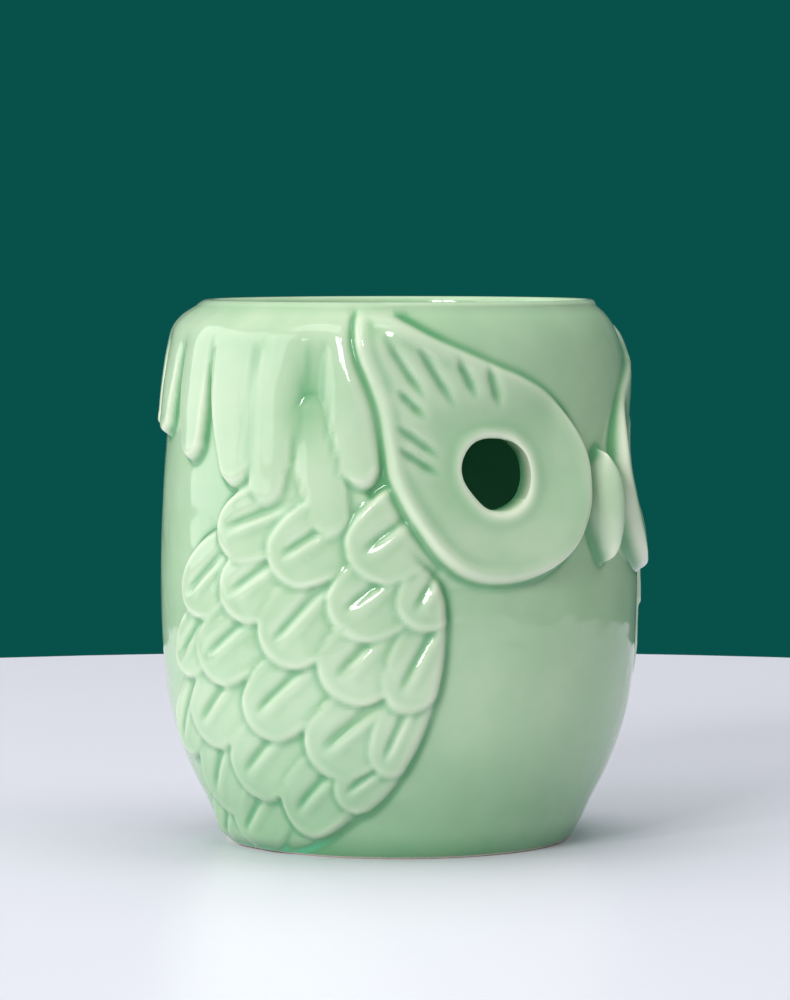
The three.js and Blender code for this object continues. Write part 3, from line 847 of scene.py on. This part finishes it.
tealight = {
    "seat": 5.8,  # height that the cup stands at, on the chamber's floor
    "radius": 19, "height": 15.5, "wall": 0.3, "bead": 0.6,
    "pleats": 64, "pleatDepth": 0.11,
    "waxTop": 12.95, "waxGap": 0.15,
    "wickFoot": 0.45, "wickTip": 19.4, "wickRadius": 0.9, "strands": 3, "twist": 11, "strandRadius": 0.42,
    "discRadius": 7, "neckRadius": 1.7, "neckHeight": 3.6,
}


def lifted(profile):
    return [(r, z + tealight["seat"]) for r, z in profile]


# Deep-drawn aluminium foil: thin, bright and a little crinkled, with fine drawing lines round it.
def drawnAluminium():
    material, tree, place = newMaterial("drawnAluminium")
    lines = addNode(tree, "ShaderNodeMapping", {"Vector": place, "Scale": (60, 60, 3000)})
    lines = addNode(tree, "ShaderNodeTexNoise", {"Vector": lines, "Scale": 1.0, "Detail": 3}).outputs["Fac"]
    crinkle = addNode(tree, "ShaderNodeTexNoise", {"Vector": place, "Scale": 260, "Detail": 3}).outputs["Fac"]
    rough = addNode(tree, "ShaderNodeMapRange", {"Value": lines, "To Min": 0.2, "To Max": 0.38})
    fine = addNode(tree, "ShaderNodeBump", {"Height": lines, "Strength": 0.2, "Distance": 0.00003})
    normal = addNode(tree, "ShaderNodeBump", {
        "Height": crinkle, "Strength": 0.3, "Distance": 0.0002, "Normal": fine})
    return shaded(material, {
        "Base Color": linear("e3e4e6"), "Metallic": 1.0, "Roughness": rough, "Normal": normal})


# Poured paraffin: milky, lets light in a few millimetres and sets with faint swirls and a waxy sheen.
def pouredParaffin():
    material, tree, place = newMaterial("pouredParaffin")
    swirl = addNode(tree, "ShaderNodeTexNoise",
                    {"Vector": place, "Scale": 160, "Detail": 4, "Distortion": 1.2}).outputs["Fac"]
    ramp = addNode(tree, "ShaderNodeValToRGB", {"Fac": swirl})
    for stop, position, colour in zip(ramp.color_ramp.elements, (0.3, 0.7), ("ece7da", "f8f5ee")):
        stop.position, stop.color = position, linear(colour)
    normal = addNode(tree, "ShaderNodeBump", {"Height": swirl, "Strength": 0.3, "Distance": 0.0002})
    return shaded(material, {
        "Base Color": ramp.outputs["Color"], "Roughness": 0.42, "IOR": 1.44, "Subsurface Weight": 0.6,
        "Subsurface Radius": (1.0, 0.85, 0.7), "Subsurface Scale": 0.003, "Normal": normal})


# Braided cotton dipped in wax: off-white, matt and fuzzy.
def braidedCotton():
    material, tree, place = newMaterial("braidedCotton")
    fibre = addNode(tree, "ShaderNodeTexNoise", {"Vector": place, "Scale": 4000, "Detail": 3}).outputs["Fac"]
    ramp = addNode(tree, "ShaderNodeValToRGB", {"Fac": fibre})
    for stop, position, colour in zip(ramp.color_ramp.elements, (0.25, 0.75), ("d9d0b8", "f4efe2")):
        stop.position, stop.color = position, linear(colour)
    normal = addNode(tree, "ShaderNodeBump", {"Height": fibre, "Strength": 0.5, "Distance": 0.00005})
    return shaded(material, {"Base Color": ramp.outputs["Color"], "Roughness": 0.85, "Normal": normal})


# Stamped tinplate: steel with a thin tin coat, greyer and duller than the cup, with rolling marks.
def stampedTinplate():
    material, tree, place = newMaterial("stampedTinplate")
    marks = addNode(tree, "ShaderNodeMapping", {"Vector": place, "Scale": (2500, 120, 120)})
    rolled = addNode(tree, "ShaderNodeTexNoise", {"Vector": marks, "Scale": 1.0, "Detail": 3}).outputs["Fac"]
    rough = addNode(tree, "ShaderNodeMapRange", {"Value": rolled, "To Min": 0.28, "To Max": 0.48})
    normal = addNode(tree, "ShaderNodeBump", {"Height": rolled, "Strength": 0.25, "Distance": 0.00003})
    return shaded(material, {
        "Base Color": linear("c4c6c8"), "Metallic": 1.0, "Roughness": rough, "Normal": normal})


def finished(item, material, body, node):
    item.data.materials.append(material)
    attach(item, body)
    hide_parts(node)
    print(node, "made")


def makeCup():
    outer, wall, top = tealight["radius"], tealight["wall"], tealight["height"]
    bead = tealight["bead"]
    beadMiddle = outer - wall + bead
    side = [(outer, z) for z in np.linspace(1.2, top - 2.2 * bead, 8)]
    inner = [(outer - wall, z) for z in np.linspace(top - 2.2 * bead, 1.3, 8)]
    profile = [(6, 0), (outer - 3.2, 0), (outer - 2.4, 0.35), (outer - 1.0, 0.1), (outer - 0.3, 0.4), *side]
    profile += arcOf(beadMiddle, top - bead, bead, -95, 180, 12) + inner
    profile += [(outer - wall - 0.3, 0.75), (outer - 1.2, 0.45), (outer - 2.4, 0.66), (outer - 3.3, wall),
                (6, wall)]
    perPleat = 6  # points round each pleat
    rings = turnedRings(lifted(profile), tealight["pleats"] * perPleat)
    fold = tealight["pleatDepth"] * np.cos(np.arange(len(rings[0])) / perPleat * 2 * math.pi)
    for ring, (r, z) in zip(rings, profile):
        share = smoothStep(z, 0.8, 2.0) * (1 - smoothStep(z, top - 2.6, top - 1.4))
        if r > outer - 1:
            ring[:, :2] *= (1 + share * (fold - tealight["pleatDepth"]) / r)[:, None]
    cup = ringsToMesh("cup", rings, (0, 0, tealight["seat"]), (0, 0, tealight["seat"] + wall))
    mergeDoubles(cup)
    finished(cup, drawnAluminium(), "cup", "tealight_cup")


def makeWax():
    gap, top = tealight["waxGap"], tealight["waxTop"]
    edge = tealight["radius"] - tealight["wall"] - gap - 2 * tealight["pleatDepth"]
    bore = tealight["wickRadius"] + gap
    overNeck, overDisc, foot = tealight["neckHeight"] + 0.6, 1.0, tealight["wickFoot"]
    neck = tealight["neckRadius"] + 0.6 + gap
    disc = tealight["discRadius"] + gap
    # its foot steps over the ring pressed into the cup
    profile = [(bore, overNeck), (neck, overNeck), (neck, overDisc), (disc, overDisc), (disc, foot),
               (edge - 3.2, foot), (edge - 2.6, foot + 0.4), (edge - 0.7, foot + 0.5), (edge, foot + 1.4),
               (edge, top), (edge - 0.05, top + 0.35), (edge - 0.5, top + 0.12), (edge - 1.6, top - 0.02)]
    profile += [(r, top - 0.05 - 0.25 * smoothStep(r, 15, 5)) for r in (14, 11, 8.5, 6.5, 5, 3.8)]
    profile += [(2.6, top - 0.2), (1.7, top + 0.1), (bore + 0.12, top + 0.5), (bore, top + 0.4)]
    wax = ringsToMesh("wax", turnedRings(lifted(profile), 128))
    wax.data.set_sharp_from_angle(angle=math.radians(40))
    finished(wax, pouredParaffin(), "candle", "tealight_wax")


def makeSustainer():
    bore = tealight["wickRadius"] + tealight["waxGap"]
    low, radius, neck = tealight["wickFoot"], tealight["discRadius"], tealight["neckRadius"]
    top = low + tealight["neckHeight"]
    profile = [(bore, low), (radius - 0.2, low), (radius, low + 0.1), (radius, low + 0.3),
               (radius - 0.2, low + 0.4), (neck + 0.7, low + 0.4), (neck + 0.2, low + 0.6), (neck, low + 1.1),
               (neck, top - 0.2), (neck - 0.2, top), (bore + 0.1, top), (bore, top - 0.1)]
    sustainer = ringsToMesh("sustainer", turnedRings(lifted(profile), 72))
    sustainer.data.set_sharp_from_angle(angle=math.radians(40))
    finished(sustainer, stampedTinplate(), "candle", "wick_sustainer")


# Geometry Nodes: strands of cotton laid in a twist round one axis.
def wickTree():
    tree, given = newGroup("twistStrands", [
        ("Length", "Float", 0.018), ("Twist Radius", "Float", 0.0005), ("Strand Radius", "Float", 0.0004),
        ("Turns", "Float", 11.0), ("Strands", "Int", 3), ("Cotton", "Material", None)], "Wick")
    spiral = addNode(tree, "GeometryNodeCurveSpiral", {
        "Resolution": 20, "Rotations": given["Turns"], "Start Radius": given["Twist Radius"],
        "End Radius": given["Twist Radius"], "Height": given["Length"]})
    section = addNode(tree, "GeometryNodeCurvePrimitiveCircle", {"Resolution": 8, "Radius": given["Strand Radius"]})
    strand = addNode(tree, "GeometryNodeCurveToMesh", {"Curve": spiral, "Profile Curve": section, "Fill Caps": True})
    points = addNode(tree, "GeometryNodePoints", {"Count": given["Strands"]})
    index = addNode(tree, "GeometryNodeInputIndex")
    share = addNode(tree, "ShaderNodeMath", {0: index, 1: given["Strands"]}, operation="DIVIDE")
    turn = addNode(tree, "ShaderNodeMath", {0: share, 1: 2 * math.pi}, operation="MULTIPLY")
    spin = addNode(tree, "ShaderNodeCombineXYZ", {"Z": turn})
    spin = addNode(tree, "FunctionNodeEulerToRotation", {0: spin})
    laid = addNode(tree, "GeometryNodeInstanceOnPoints", {"Points": points, "Instance": strand, "Rotation": spin})
    real = addNode(tree, "GeometryNodeRealizeInstances", {0: laid})
    done = addNode(tree, "GeometryNodeSetMaterial", {"Geometry": real, "Material": given["Cotton"]})
    addNode(tree, "NodeGroupOutput", {"Wick": done})
    return tree


def makeWick():
    cotton = braidedCotton()
    holder = placed("wick", bpy.data.meshes.new("wick"))
    strand = tealight["strandRadius"]
    foot, tip = tealight["wickFoot"], tealight["wickTip"]
    runGroup(holder, "strands", wickTree(), {
        "Length": (tip - foot - 2 * strand) * mm, "Twist Radius": (tealight["wickRadius"] - strand) * mm,
        "Strand Radius": strand * mm, "Turns": float(tealight["twist"]), "Strands": tealight["strands"],
        "Cotton": cotton})
    mesh = finalMesh(holder)
    holder.modifiers.clear()
    holder.data = mesh
    for vertex in mesh.vertices:
        vertex.co.z += (tealight["seat"] + foot + strand) * mm
    mesh.materials.clear()
    mergeDoubles(holder)
    mesh.set_sharp_from_angle(angle=math.radians(60))
    finished(holder, cotton, "candle", "tealight_wick")


makeCup()
makeWax()
makeSustainer()
makeWick()


# Floor, light and surroundings.

stage = {"radius": 386, "floor": "eeebf7", "backdrop": "08504a", "room": "e6eceb", "roomLight": 0.36}


def makeStage():
    turns = np.linspace(0, 2 * math.pi, 96, endpoint=False)
    points = [(stage["radius"] * math.cos(t), stage["radius"] * math.sin(t), -0.05) for t in turns]
    floor = makeMesh("floor", points, [tuple(range(len(points)))])
    material = bpy.data.materials.new("paintedTable")
    material.use_nodes = True
    shader = material.node_tree.nodes["Principled BSDF"]
    shader.inputs["Base Color"].default_value = linear(stage["floor"])
    shader.inputs["Roughness"].default_value = 0.35
    floor.data.materials.append(material)
    world = bpy.data.worlds.new("backdrop")
    bpy.context.scene.world = world
    world.use_nodes = True
    tree = world.node_tree
    tree.nodes.clear()
    path = addNode(tree, "ShaderNodeLightPath").outputs
    seen = addNode(tree, "ShaderNodeMath", {0: path["Is Camera Ray"], 1: path["Is Glossy Ray"]},
                   operation="MAXIMUM")
    backdrop = addNode(tree, "ShaderNodeBackground", {"Color": linear(stage["backdrop"])})
    room = addNode(tree, "ShaderNodeBackground", {"Color": linear(stage["room"]), "Strength": stage["roomLight"]})
    mixed = addNode(tree, "ShaderNodeMixShader", {"Fac": seen, 1: room, 2: backdrop})
    addNode(tree, "ShaderNodeOutputWorld", {"Surface": mixed})


# Softboxes: azimuth, distance, height, width, depth and brightness of each.
lights = {
    "windowPane": (-78, 1600, 840, 260, 520, 20.0),
    "secondPane": (-90, 1600, 840, 260, 520, 20.0),
    "overhead": (125, 550, 1900, 1500, 1500, 2.35),
    "softLeft": (-118, 1900, 740, 700, 1120, 1.7),
    "highLeft": (-105, 1100, 1750, 900, 900, 2.1),
    "sideWall": (-152, 1900, 600, 1700, 1240, 1.8),
    "fillRight": (20, 1200, 1900, 1200, 1200, 1.75),
}
offGlaze = ["overhead", "fillRight"]  # these two don't show as reflections


def makeLights():
    for name, (azimuth, distance, height, width, depth, brightness) in lights.items():
        data = bpy.data.lights.new(name, "AREA")
        data.shape = "RECTANGLE"
        data.size, data.size_y = width * mm, depth * mm
        data.energy = brightness * math.pi * data.size * data.size_y
        item = placed(name, data)
        item.visible_camera = False
        item.visible_glossy = name not in offGlaze
        pointAt(item, aroundOwl(azimuth, distance, height), Vector((0, 0, 60 * mm)))


makeStage()
makeLights()
print("stage and lights placed")
